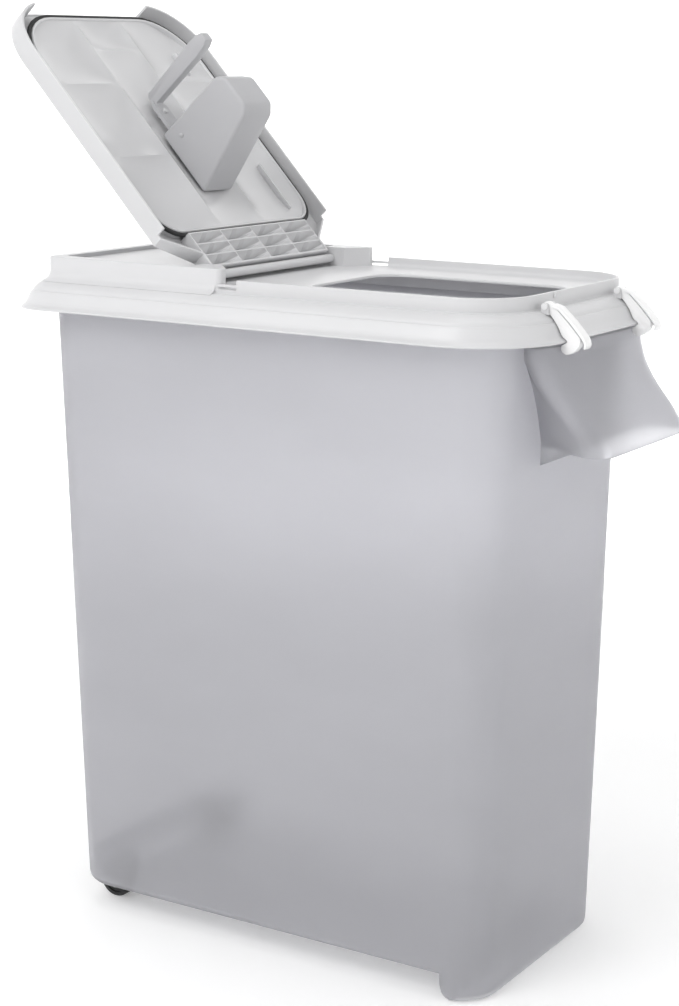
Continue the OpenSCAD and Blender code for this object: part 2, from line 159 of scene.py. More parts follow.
def frosted(name, colour):
    """Milky see-through plastic of the tub."""
    material = plastic(name, colour, 0.42, 0.03, 0.00003, 500, 0.4)
    shader = material.node_tree.nodes["Principled BSDF"]
    shader.inputs["Transmission Weight"].default_value = 0.72
    shader.inputs["IOR"].default_value = 1.12
    return material


def steel(name, colour, rough):
    """Brushed steel: fine streaks in the colour and the sheen."""
    material, tree, shader = node_material(name)
    brushed = noise(tree, 400, 3, (1, 0.05, 1))
    tree.links.new(tone(tree, spread(tree, brushed, 0, 1), colour, 0.2),
                   shader.inputs["Base Color"])
    tree.links.new(spread(tree, brushed, rough - 0.08, rough + 0.08),
                   shader.inputs["Roughness"])
    shader.inputs["Metallic"].default_value = 1.0
    return material


MATERIALS = {
    "tub_plastic": frosted("tub_plastic", (0.70, 0.70, 0.725)),
    "lid_plastic": plastic("lid_plastic", (0.66, 0.66, 0.67), 0.36),
    "flap_plastic": plastic("flap_plastic", (0.63, 0.63, 0.64), 0.34),
    "liner_plastic": plastic("liner_plastic", (0.62, 0.62, 0.63), 0.22, gloss=0.7),
    "gasket_rubber": plastic("gasket_rubber", (0.012, 0.012, 0.013), 0.6, 0.3),
    "scoop_plastic": plastic("scoop_plastic", (0.47, 0.47, 0.485), 0.5),
    "hook_plastic": plastic("hook_plastic", (0.93, 0.93, 0.93), 0.3, 0.02),
    "pin_plastic": plastic("pin_plastic", (0.80, 0.80, 0.81), 0.35),
    "wheel_plastic": plastic("wheel_plastic", (0.016, 0.016, 0.017), 0.5, 0.3, 0.00008, 700),
    "axle_steel": steel("axle_steel", (0.55, 0.56, 0.58), 0.3),
    "cap_steel": steel("cap_steel", (0.60, 0.60, 0.62), 0.3),
}

# ---------------------------------------------------------------- mesh tools


def new_object(name, bm, sharp=38):
    """A smooth-shaded object from a bmesh in millimetres."""
    bmesh.ops.remove_doubles(bm, verts=bm.verts, dist=0.002)
    bmesh.ops.recalc_face_normals(bm, faces=bm.faces)
    bmesh.ops.scale(bm, vec=(MM, MM, MM), verts=bm.verts)
    mesh = bpy.data.meshes.new(name)
    bm.to_mesh(mesh)
    bm.free()
    obj = bpy.data.objects.new(name, mesh)
    bpy.context.scene.collection.objects.link(obj)
    shade(obj, sharp)
    return obj


def shade(obj, sharp=38):
    """Smooth shading, with edges kept sharp past an angle in degrees."""
    obj.data.shade_smooth()
    obj.data.set_sharp_from_angle(angle=math.radians(sharp))


def apply_modifiers(obj):
    """Makes the modified shape the mesh itself."""
    bpy.context.view_layer.update()
    done = obj.evaluated_get(bpy.context.evaluated_depsgraph_get())
    old = obj.data
    obj.data = bpy.data.meshes.new_from_object(done)
    obj.modifiers.clear()
    bpy.data.meshes.remove(old)


def combine(obj, other, operation, keep=False):
    """Boolean of two solids; the second one is used up unless it is kept."""
    modifier = obj.modifiers.new("cut", "BOOLEAN")
    modifier.operation = operation
    modifier.solver = "EXACT"
    modifier.object = other
    apply_modifiers(obj)
    if not keep:
        bpy.data.objects.remove(other)


def soften(obj, width, segments=2, angle=40):
    """Rounds the sharp edges of a solid by width millimetres."""
    modifier = obj.modifiers.new("soften", "BEVEL")
    modifier.width = width * MM
    modifier.segments = segments
    modifier.limit_method = "ANGLE"
    modifier.angle_limit = math.radians(angle)
    modifier.use_clamp_overlap = True
    apply_modifiers(obj)


def finish_piece(obj, body, slot, *nodes, sharp=38):
    """Gives a piece its material, its body and the CAD nodes it stands in for."""
    obj.data.materials.clear()
    obj.data.materials.append(MATERIALS[slot])
    shade(obj, sharp)
    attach(obj, body)
    if nodes:
        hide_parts(*nodes)
    return obj


def arc(cx, cy, r, start, end, steps):
    """Points on an arc from angle start to end, in degrees."""
    points = []
    for i in range(steps + 1):
        a = math.radians(start + (end - start) * i / steps)
        points.append((cx + r * math.cos(a), cy + r * math.sin(a)))
    return points


CORNER = [90 * i / 9 for i in range(10)]
SIDE = [i / 8 for i in range(1, 8)]


def outline(x0, x1, hw, r0, r1, front_turns=CORNER, side=SIDE):
    """Rounded rectangle seen from above: r0 at the rear corners, r1 at the front ones.

    The first half runs from the rear to the front on the +Y side, and the second comes back.
    Every outline with the same turns and side has matching points, so they can be lofted.
    """
    half = []
    for a in CORNER:
        t = math.radians(180 - a)
        half.append((x0 + r0 + r0 * math.cos(t), hw - r0 + r0 * math.sin(t)))
    for f in side:
        half.append((x0 + r0 + f * (x1 - r1 - x0 - r0), hw))
    for a in front_turns:
        t = math.radians(90 - a)
        half.append((x1 - r1 + r1 * math.cos(t), hw - r1 + r1 * math.sin(t)))
    return half + [(x, -y) for x, y in reversed(half)]


def loft(bm, rings, closed=False):
    """Quads between rings of matching points. A closed loft joins the last ring to the first."""
    rows = [[bm.verts.new(p) for p in ring] for ring in rings]
    pairs = list(zip(rows, rows[1:]))
    if closed:
        pairs.append((rows[-1], rows[0]))
    for a, b in pairs:
        n = len(a)
        for i in range(n):
            j = (i + 1) % n
            bm.faces.new((a[i], a[j], b[j], b[i]))
    return rows


def ladder(bm, row):
    """Fills a ring that is symmetric about y = 0 with strips across it."""
    n = len(row)
    for i in range(n // 2 - 1):
        bm.faces.new((row[i], row[i + 1], row[n - 2 - i], row[n - 1 - i]))


def level(points, z):
    """The outline's points at one height."""
    return [(x, y, z) for x, y in points]


def prism(name, points, low, high, axis="z"):
    """Solid between two levels of a flat outline. axis names the direction it is drawn along."""
    bm = bmesh.new()
    place = {
        "z": lambda u, v, w: (u, v, w),
        "y": lambda u, v, w: (u, w, v),
        "x": lambda u, v, w: (w, u, v),
    }[axis]
    a = [bm.verts.new(place(u, v, low)) for u, v in points]
    b = [bm.verts.new(place(u, v, high)) for u, v in points]
    bm.faces.new(a)
    bm.faces.new(list(reversed(b)))
    n = len(points)
    for i in range(n):
        j = (i + 1) % n
        bm.faces.new((a[i], b[i], b[j], a[j]))
    return new_object(name, bm)


def box(name, low, high):
    """Rectangular cutter or rib between two corners."""
    corners = [(low[0], low[1]), (high[0], low[1]), (high[0], high[1]), (low[0], high[1])]
    return prism(name, corners, low[2], high[2])


def lathe(name, profile, centre, steps=48, along="y"):
    """Solid of revolution: profile is (distance along the axis, radius) and closes on itself."""
    bm = bmesh.new()
    rings = []
    for i in range(steps):
        a = 2 * math.pi * i / steps
        ring = []
        for t, r in profile:
            u, v = r * math.cos(a), r * math.sin(a)
            p = {"y": (u, t, v), "z": (u, v, t)}[along]
            ring.append(tuple(c + d for c, d in zip(centre, p)))
        rings.append(ring)
    loft(bm, rings, closed=True)
    return new_object(name, bm)


# ---------------------------------------------------------------- tub

tub_low, tub_high = span("tub")
FLANGE = 4
WALL = 2.6
TUB_R = 38
RIM_Z = tub_high.z
RIM_X0 = tub_low.x + FLANGE
RIM_HW = tub_high.y - FLANGE
HOOD_X = tub_high.x
RIM_X1 = HOOD_X - 75
BASE_Z = 22
BASE_X0, BASE_X1, BASE_HW = -221, 208, 119
FLOOR_T = 3
EDGE_R = 8
FOOT_R = 10
# the foot's rear face stands in the front corners' turns, a little after they start
FOOT_START = 0.98
FOOT_INNER_START = 3.9
FOOT_TURNS = [0, 0.9, 1.5, 3.8, 5.4, 6, 9, 12.2, 16.8, 27, 39, 51, 63, 75, 90]


def tub_plan(z, inset):
    """The tub's outline at a height, drawn in by inset."""
    t = (z - BASE_Z) / (RIM_Z - BASE_Z)
    x0 = BASE_X0 + t * (RIM_X0 - BASE_X0) + inset
    x1 = BASE_X1 + t * (RIM_X1 - BASE_X1) - inset
    hw = BASE_HW + t * (RIM_HW - BASE_HW) - inset
    return outline(x0, x1, hw, TUB_R - inset, TUB_R - inset, FOOT_TURNS)


def bottom_heights(raised, low, start, radius):
    """Height of the bottom at each point of the outline: low over the foot, raised behind it."""
    half = [raised] * (len(CORNER) + len(SIDE))
    for a in FOOT_TURNS:
        u = TUB_R * math.sin(math.radians(a)) - start
        if u < 0:
            half.append(raised)
        else:
            u = min(u, radius)
            half.append(low + radius - math.sqrt(radius ** 2 - (radius - u) ** 2))
    return half + half[::-1]


def tub_solid(name, inset, raised, low, start, radius, edge_r, top, top_edge):
    """Closed form of the tub from its stepped bottom up to a level."""
    heights = bottom_heights(raised, low, start, radius)
    rings = []
    for step in range(6):
        t = math.radians(90 * step / 5)
        grown = edge_r * (1 - math.sin(t))
        lift = edge_r * (1 - math.cos(t))
        rings.append([(*tub_plan(h + lift, inset + grown)[i], h + lift)
                      for i, h in enumerate(heights)])
    for z in (44, 90, 150, 210, 270, 330, 390, 440, 480, 520, 550, top - 2):
        rings.append(level(tub_plan(z, inset), z))
    for grown, drop in top_edge:
        rings.append(level(tub_plan(top - drop, inset + grown), top - drop))
    bm = bmesh.new()
    rows = loft(bm, rings)
    ladder(bm, rows[0])
    ladder(bm, rows[-1])
    return new_object(name, bm)


def between(knots, z):
    """Smooth curve through (z, value) knots, highest first, with flat ends."""
    if z >= knots[0][0]:
        return knots[0][1]
    if z <= knots[-1][0]:
        return knots[-1][1]
    k = next(i for i in range(len(knots) - 1) if knots[i + 1][0] <= z)
    a, b = knots[k], knots[k + 1]
    before = knots[max(k - 1, 0)]
    after = knots[min(k + 2, len(knots) - 1)]
    rise = b[0] - a[0]
    start = (b[1] - before[1]) / (b[0] - before[0]) * rise
    end = (after[1] - a[1]) / (after[0] - a[0]) * rise
    t = (z - a[0]) / rise
    return ((2 * t ** 3 - 3 * t ** 2 + 1) * a[1] + (t ** 3 - 2 * t ** 2 + t) * start
            + (3 * t ** 2 - 2 * t ** 3) * b[1] + (t ** 3 - t ** 2) * end)


HOOD_TOP = 558.8
HOOD_LIP = 472
HOOD_ROOT = 205
# where the hood's side edges start to drop towards the tub, and how far they get
GUSSET_X = 256
GUSSET_SLOPE = 0.44
HOOD_FRONT = [(546, 242), (530, 249.5), (512, 262.5), (499, 274), (494, 278.5), (486, 284.5),
              (478, 289), (472, HOOD_X)]
HOOD_HW = [(546, 95), (530, 90), (512, 86), (490, 83.5), (472, 82)]
HOOD_ROOT_HW = [(546, 60), (512, 48), (472, 36)]
HOOD_R = [(546, 12), (512, 14), (472, 15)]


def hood_plan(z, inset):
    """The hood's outline at a height: side walls that spread from the root to the corners."""
    level_z = max(z, HOOD_LIP)
    x1 = between(HOOD_FRONT, level_z) - inset
    hw = between(HOOD_HW, level_z) - inset
    root = between(HOOD_ROOT_HW, level_z) - 1.5 * inset
    r = between(HOOD_R, level_z) - inset
    cx, cy = x1 - r, hw - r
    reach = math.hypot(cx - HOOD_ROOT, cy - root)
    turn = 90 + math.degrees(math.atan2(cy - root, cx - HOOD_ROOT) + math.asin(r / reach))
    sweep_round = [(cx + r * math.cos(math.radians(turn * (1 - f))),
                    cy + r * math.sin(math.radians(turn * (1 - f))))
                   for f in [i / 14 for i in range(15)]]
    tx, ty = sweep_round[0]
    half = [(HOOD_ROOT + (tx - HOOD_ROOT) * f, root + (ty - root) * f)
            for f in (0, 0.2, 0.4, 0.6, 0.8)] + sweep_round
    return half + [(x, -y) for x, y in reversed(half)]


def lip_drop(x):
    """How far the hood's side edge has dropped at x."""
    return max(0, GUSSET_X - x) * GUSSET_SLOPE


def hood_solid(name, inset, top, bottom):
    """Closed form of the hood; its lower edge slopes down to the tub at the sides."""
    rings = []
    steps = 26
    for i in range(steps + 1):
        z = top + (HOOD_LIP - top) * i / steps
        rings.append(level(hood_plan(z, inset), z))
    # a cutter runs on below the lip; the hood itself ends there, lower at its sides
    under = HOOD_LIP - bottom
    rings.append([(x, y, HOOD_LIP - 0.01 - under - (0 if under else lip_drop(x)))
                  for x, y in hood_plan(HOOD_LIP, inset)])
    bm = bmesh.new()
    rows = loft(bm, rings)
    ladder(bm, rows[0])
    ladder(bm, rows[-1])
    return new_object(name, bm)


WHEEL_X, WHEEL_R = -197, 17
POCKET_X0, POCKET_X1 = -216.5, -177.5
POCKET_HW = 92.5
POCKET_TOP = 46
LUG_HW, LUG_INNER_Y, LUG_OUTER_Y, LUG_BORE = 7, 60, 70.5, 3.6


def axle_lug(side):
    """Lug that holds the axle: a strap with a round end and a bore, under the pocket's roof."""
    low, high = sorted((side * LUG_INNER_Y, side * LUG_OUTER_Y))
    strap = [(WHEEL_X + LUG_HW, POCKET_TOP + 1), (WHEEL_X - LUG_HW, POCKET_TOP + 1)]
    strap += arc(WHEEL_X, WHEEL_R, LUG_HW, 180, 360, 16)
    lug = prism("lug", strap, low, high, "y")
    ring = arc(WHEEL_X, WHEEL_R, LUG_BORE, 0, 360, 32)[:-1]
    combine(lug, prism("bore", ring, low - 2, high + 2, "y"), "DIFFERENCE")
    return lug


def make_tub():
    """The tub with its hood, foot, rim flange, wheel pocket and axle lugs."""
    flange = [(0, 10.5), (-3.5, 10), (-4, 9.5), (-4, 6.5), (-3.5, 6), (0, 5.5), (0, 0.8),
              (0.8, 0)]
    tub = tub_solid("tub_shell", 0, BASE_Z, 0, FOOT_START, FOOT_R, EDGE_R, RIM_Z, flange)
    cavity = tub_solid("cavity", WALL, BASE_Z + FLOOR_T, WALL, FOOT_INNER_START,
                       FOOT_R - WALL, EDGE_R - 1, RIM_Z + 6, [(0, 0)])
    grip = hood_solid("grip", WALL, HOOD_TOP - WALL, HOOD_LIP - 2)
    combine(grip, tub, "DIFFERENCE", keep=True)
    combine(tub, hood_solid("hood", 0, HOOD_TOP, HOOD_LIP), "UNION")
    combine(tub, cavity, "DIFFERENCE")
    combine(tub, grip, "DIFFERENCE")
    combine(tub, box("pocket", (POCKET_X0 - WALL, -POCKET_HW - WALL, BASE_Z + 0.5),
                     (POCKET_X1 + WALL, POCKET_HW + WALL, POCKET_TOP + WALL)), "UNION")
    combine(tub, box("well", (POCKET_X0, -POCKET_HW, 0), (POCKET_X1, POCKET_HW, POCKET_TOP)),
            "DIFFERENCE")
    for side in (-1, 1):
        combine(tub, axle_lug(side), "UNION")
    finish_piece(tub, "bin", "tub_plastic", "tub", sharp=30)


make_tub()

# ---------------------------------------------------------------- lid

LID_X0, LID_X1, LID_HW, LID_R0, LID_R1 = -234.5, 220.5, 125.6, 10, 52
PAN_Z = 587.8
DECK_Z = 604.7
DECK_X = -47.4
COLLAR_X = -30.5
COLLAR_Z = 596.2
LID_T = 2.5
POUR = (-3, 187, 71, 26, 26)
NOTCH_X = -100.6
TRAY = (-222, -84, 113.1, 6, 3)
HOOK_X, HOOK_Y, HOOK_Z = 229.5, 68, 588.3
NUB_Y = -40
BAR_Y = 124.2


def lid_plan(off):
    """The lid's outline, grown by off."""
    return outline(LID_X0 - off, LID_X1 + off, LID_HW + off, max(LID_R0 + off, 3),
                   LID_R1 + off)


# the flared skirt in section: distance outside the lid's wall, and height
SKIRT = [(-3, PAN_Z), (-0.6, PAN_Z), (0, 587.2), (0, 585.2), (0.4, 584.6), (1.3, 584.2),
         (5.2, 583.9), (5.9, 583.1), (6.7, 583.1), (7.2, 583.2), (9.7, 581.9), (12.4, 579.3),
         (14.6, 577.2), (14.9, 576.1), (15.7, 575.4), (16.4, 575.3), (18.2, 572.6), (20.2, 568.0),
         (21.6, 565.2), (22.9, 563.6), (24.4, 562.6), (25.6, 561.9), (26.1, 561.2), (26.0, 560.3),
         (25.3, 559.85), (24.2, 560.3), (22.6, 561.3), (21.2, 562.9), (19.8, 565.0),
         (18.2, 568.0), (16.1, 571.4), (13.5, 574.6), (10.8, 577.6), (8.3, 580.0), (6.0, 581.4),
         (4.5, 581.85), (-2.4, 581.85), (-2.4, 585.3)]


def rail(off, start, steps=12):
    """Open line along the lid's sides and round its front, starting at x = start."""
    half = [(start, LID_HW + off)]
    for i in range(1, 9):
        half.append((start + (LID_X1 - LID_R1 - start) * i / 8, LID_HW + off))
    for i in range(1, steps + 1):
        t = math.radians(90 - 90 * i / steps)
        r = LID_R1 + off
        half.append((LID_X1 - LID_R1 + r * math.cos(t), LID_HW - LID_R1 + r * math.sin(t)))
    return half + [(x, -y) for x, y in reversed(half)]


def sweep(name, section, line):
    """Solid with a closed section carried along an open line given by its offset."""
    bm = bmesh.new()
    rows = [[bm.verts.new((x, y, z)) for x, y in line(off)] for off, z in section]
    for a, b in zip(rows, rows[1:] + rows[:1]):
        for i in range(len(a) - 1):
            bm.faces.new((a[i], a[i + 1], b[i + 1], b[i]))
    bm.faces.new([row[0] for row in rows])
    bm.faces.new([row[-1] for row in reversed(rows)])
    return new_object(name, bm)


def rear_rail(off, front):
    """Open line round the lid's rear corners, from side to side, ending at x = front."""
    half = [(front, LID_HW + off), (front - 60, LID_HW + off), (front - 120, LID_HW + off)]
    r = LID_R0 + off
    for i in range(9):
        t = math.radians(90 + 90 * i / 8)
        half.append((LID_X0 + LID_R0 + r * math.cos(t), LID_HW - LID_R0 + r * math.sin(t)))
    return half + [(x, -y) for x, y in reversed(half)]


def column(name, z0, z1, edge, plan_of):
    """Upright solid whose top edge is rounded: plan_of(inset) gives its outline."""
    bm = bmesh.new()
    rings = [level(plan_of(0), z0), level(plan_of(0), z1 - edge)]
    for a in (30, 60, 90):
        t = math.radians(a)
        rings.append(level(plan_of(edge * (1 - math.cos(t))), z1 - edge * (1 - math.sin(t))))
    rows = loft(bm, rings)
    ladder(bm, rows[0])
    ladder(bm, rows[-1])
    return new_object(name, bm)


def make_lid():
    """The lid: skirt, pan, deck with its tray, collar, hook ears, catch nub and plug lip."""
    bm = bmesh.new()
    x0, x1, hw, r0, r1 = POUR
    pour = [outline(x0 + d, x1 - d, hw - d, r0 - d, r1 - d) for d in (0, -0.5, -1.6)]
    rings = [level(pour[0], 585.3), level(pour[0], 586.6), level(pour[1], 587.4),
             level(pour[2], PAN_Z)]
    rings += [level(lid_plan(off), z) for off, z in SKIRT]
    loft(bm, rings, closed=True)
    lid = new_object("lid_skirt", bm)

    deck = column("deck", 583.6, DECK_Z, 1.2,
                  lambda d: outline(LID_X0 + d, DECK_X - d, LID_HW - d, LID_R0 - d, 5 - d))
    combine(lid, deck, "UNION")
    collar = [(-0.0, 585.0), (0, COLLAR_Z - 1.0), (-0.3, COLLAR_Z - 0.3), (-1.0, COLLAR_Z),
              (-2.1, COLLAR_Z), (-2.75, COLLAR_Z - 0.3), (-3.0, COLLAR_Z - 1.0), (-3.0, 591.4),
              (-3.5, 589.8), (-4.6, 588.6), (-6.2, 587.95), (-7.4, 587.5), (-7.4, 586.4),
              (-3.2, 585.0)]
    combine(lid, sweep("collar", collar, lambda off: rail(off, COLLAR_X)), "UNION")
    cove = [(-1.2, 593.0), (-0.1, 592.4), (0.5, 589.6), (1.7, 587.2), (3.6, 585.4), (6.2, 584.2),
            (7.4, 583.4), (6.0, 582.6), (-1.2, 582.6)]
    combine(lid, sweep("deck_cove", cove, lambda off: rear_rail(off, -52)), "UNION")
    notch = [(NOTCH_X, -98), (-64, -98), (DECK_X + 1, -118), (DECK_X + 1, 118), (-64, 98),
             (NOTCH_X, 98)]
    combine(lid, prism("notch", notch, PAN_Z, 640), "DIFFERENCE")
    tx0, tx1, thw, tr0, tr1 = TRAY
    tray = prism("tray", outline(tx0, tx1, thw, tr0, tr1), DECK_Z - 3.5, 640)
    combine(lid, tray, "DIFFERENCE")
    hollow = prism("hollow", outline(LID_X0 + LID_T, NOTCH_X - LID_T, LID_HW - LID_T, 7.5, 3),
                   570, DECK_Z - 3.5 - LID_T)
    combine(lid, hollow, "DIFFERENCE")
    combine(lid, box("tray_bead", (-214, -109.5, 600), (-92, -106.5, DECK_Z - 1.4)), "UNION")
    # ears of the hooks, seats of the hinge and hook pins, and the bars from the deck to the collar
    for s in (-1, 1):
        for e in (-1, 1):
            y = s * HOOK_Y + e * 4.0
            low, high = sorted((y, y + e * 2.8))
            ear = [(HOOK_X - 3.4, 583.0), (HOOK_X + 3.4, 581.5)]
            ear += arc(HOOK_X, HOOK_Z, 2.7, 0, 180, 10)
            combine(lid, prism("ear", ear, low, high, "y"), "UNION")
        pin = lathe("pin_seat", [(s * 96, 0.01), (s * 96, 2.5), (s * 102, 2.5), (s * 102, 4.2),
                                 (s * 106.4, 4.2), (s * 106.4, 0.01)],
                    (HINGE.x, 0, HINGE.z), 32)
        combine(lid, pin, "DIFFERENCE")
        bore = lathe("hook_seat", [(s * 60, 0.01), (s * 60, 1.5), (s * 76, 1.5), (s * 76, 0.01)],
                     (HOOK_X, 0, HOOK_Z), 24)
        combine(lid, bore, "DIFFERENCE")
        bar = box("bar", (DECK_X - 2, s * BAR_Y - 1.2, 590.0),
                  (COLLAR_X + 2, s * BAR_Y + 1.2, 592.0))
        combine(lid, bar, "UNION")
    finish_piece(lid, "lid", "lid_plastic", "lid_frame", sharp=32)

    nub = prism("catch_nub", [(NUB_Y - 2.2, COLLAR_Z - 4.6), (NUB_Y + 2.2, COLLAR_Z - 4.6),
                              (NUB_Y + 0.3, COLLAR_Z - 0.6), (NUB_Y - 0.3, COLLAR_Z - 0.6)],
                219.4, 222.4, "x")
    finish_piece(nub, "lid", "lid_plastic", sharp=30)

    bm = bmesh.new()
    lip = [(0, 581.9), (0, 571.5), (1.0, 570), (2.4, 570), (2.6, 571.5), (2.6, 581.9)]
    loft(bm, [level(outline(LID_X0 + d, 211 - d, LID_HW - d, 34.5 - d, 34.5 - d), z)
              for d, z in lip], closed=True)
    finish_piece(new_object("plug_lip", bm), "lid", "lid_plastic")


# ---------------------------------------------------------------- flap

OPEN_ANGLE = math.radians(132.7)
HINGE = Vector((-78.1, 0, 594.7))
FLAP_REACH, FLAP_HW, FLAP_R = 302.6, 129.5, 56
FLAP_TOP = 8.8
FLAP_T = 2.6
FLAP_WALL = 2.4
SKIRT_Z = -10
REAR_Z = -5.8
WING_Z = -1.8
WAIST_X, WAIST_HW = 19, 93
WING_X = 42
PANEL_X0 = 5.0
LINER = (46, 291.4, 118, 28, 54)
# the ribs between the liner's coves: two lengthways, and those across the outer and middle columns
LONG_RIB_Y = 33.5
OUTER_RIBS_X = (131, 214)
MIDDLE_RIB_X = 253
LINER_LAND_Z = -1.6
COVE_DEPTH = 6.2
COVE_STEP = 4.0
RIDGE_Z = -2.7
FLAP_TURNS = [0, 7, 14, 21, 28, 35, 42, 49, 56, 62, 67, 72, 78, 78.8, 84, 84.8, 90]


def on_flap(obj):
    """Carries a piece from the closed flap's own frame to the open flap."""
    turn = Matrix.Rotation(-OPEN_ANGLE, 4, "Y")
    obj.data.transform(Matrix.Translation(HINGE * MM) @ turn)
    return obj


def flap_plan(d):
    """The flap's outline, drawn in by d, with the chamfers of its waist."""
    half = [(PANEL_X0 + d, WAIST_HW - d), (WAIST_X + 0.55 * d, WAIST_HW - d),
            (WING_X + 0.55 * d, FLAP_HW - d)]
    half.append((WING_X + 4.5, FLAP_HW - d))
    half += [(WING_X + 4.6 + (FLAP_REACH - FLAP_R - WING_X - 4.6) * f, FLAP_HW - d)
             for f in (0, 0.2, 0.4, 0.6, 0.8)]
    for a in FLAP_TURNS:
        t = math.radians(90 - a)
        half.append((FLAP_REACH - FLAP_R + (FLAP_R - d) * math.cos(t),
                     FLAP_HW - FLAP_R + (FLAP_R - d) * math.sin(t)))
    return half + [(x, -y) for x, y in reversed(half)]


def skirt_heights(lift):
    """Height of the skirt's lower edge round the outline; none at the free end's finger gap."""
    halves = []
    for end in (84.5, 78.5):
        half = [REAR_Z, REAR_Z, WING_Z, WING_Z] + [SKIRT_Z] * 5
        half += [SKIRT_Z if a < end else FLAP_TOP - FLAP_T - 0.6 for a in FLAP_TURNS]
        halves.append([h + lift for h in half])
    return halves[0] + halves[1][::-1]


def ring_at(points, heights):
    """The outline's points, each at its own height."""
    return [(x, y, z) for (x, y), z in zip(points, heights)]


def grid_solid(name, xs, ys, under, top):
    """Solid below a flat top whose underside follows under(x, y)."""
    bm = bmesh.new()
    low = [[bm.verts.new((x, y, under(x, y))) for y in ys] for x in xs]
    high = [[bm.verts.new((x, y, top)) for y in ys] for x in xs]
    for i in range(len(xs) - 1):
        for j in range(len(ys) - 1):
            for g, turn in ((low, False), (high, True)):
                q = [g[i][j], g[i + 1][j], g[i + 1][j + 1], g[i][j + 1]]
                bm.faces.new(q[::-1] if turn else q)
    edge = [(i, 0) for i in range(len(xs))] + [(len(xs) - 1, j) for j in range(1, len(ys))]
    edge += [(i, len(ys) - 1) for i in range(len(xs) - 2, -1, -1)]
    edge += [(0, j) for j in range(len(ys) - 2, 0, -1)]
    for a, b in zip(edge, edge[1:] + edge[:1]):
        bm.faces.new((low[a[0]][a[1]], low[b[0]][b[1]], high[b[0]][b[1]], high[a[0]][a[1]]))
    return new_object(name, bm)


def make_flap_shell():
    """The flap's cover with its skirt, the waffle panel and the hinge barrel."""
    bm = bmesh.new()
    rings = [level(flap_plan(2.0), FLAP_TOP), level(flap_plan(0.6), FLAP_TOP - 0.5),
             level(flap_plan(0), FLAP_TOP - 1.8),
             ring_at(flap_plan(0), skirt_heights(0.8)),
             ring_at(flap_plan(0.5), skirt_heights(0)),
             ring_at(flap_plan(FLAP_WALL - 0.5), skirt_heights(0)),
             ring_at(flap_plan(FLAP_WALL), skirt_heights(0.5)),
             level(flap_plan(FLAP_WALL), FLAP_TOP - FLAP_T)]
    rows = loft(bm, rings)
    ladder(bm, rows[0])
    ladder(bm, rows[-1])
    shell = new_object("flap_cover", bm)
    finish_piece(on_flap(shell), "flap", "flap_plastic", "flap_shell", sharp=32)

    # waffle of square pockets between the hinge and the liner
    xs, kinds_x = [], {}
    ys, kinds_y = [], {}
    for lines, kinds, knots in ((xs, kinds_x, (6.2, 18.2, 30.2, 42.2)),
                                (ys, kinds_y, (-91.6, -45.8, 0, 45.8, 91.6))):
        for k in knots:
            for d, kind in ((-0.6, "rib"), (0.6, "rib")):
                lines.append(round(k + d, 3))
                kinds[round(k + d, 3)] = kind
        for a, b in zip(knots, knots[1:]):
            run = (b - a) * 0.42
            for p in (a + run, b - run):
                lines.append(round(p, 3))
                kinds[round(p, 3)] = "floor"
        lines.sort()
    waffle = grid_solid("waffle", xs, ys,
                        lambda x, y: 5.6 if kinds_x[x] == kinds_y[y] == "floor" else -5.0,
                        FLAP_TOP - 1.0)
    finish_piece(on_flap(waffle), "flap", "flap_plastic", sharp=20)

    knuckles = [(-97.4, 2.62), (-97.4, 3.6), (-96.9, 4.0), (96.9, 4.0), (97.4, 3.6), (97.4, 2.62)]
    barrel = lathe("barrel", knuckles, (0, 0, 0), 40)
    finish_piece(on_flap(barrel), "flap", "flap_plastic")


def liner_plan(d, turns=CORNER):
    """The liner's outline, drawn in by d."""
    x0, x1, hw, r0, r1 = LINER
    return outline(x0 + d, x1 - d, hw - d, r0 - d, r1 - d, turns)


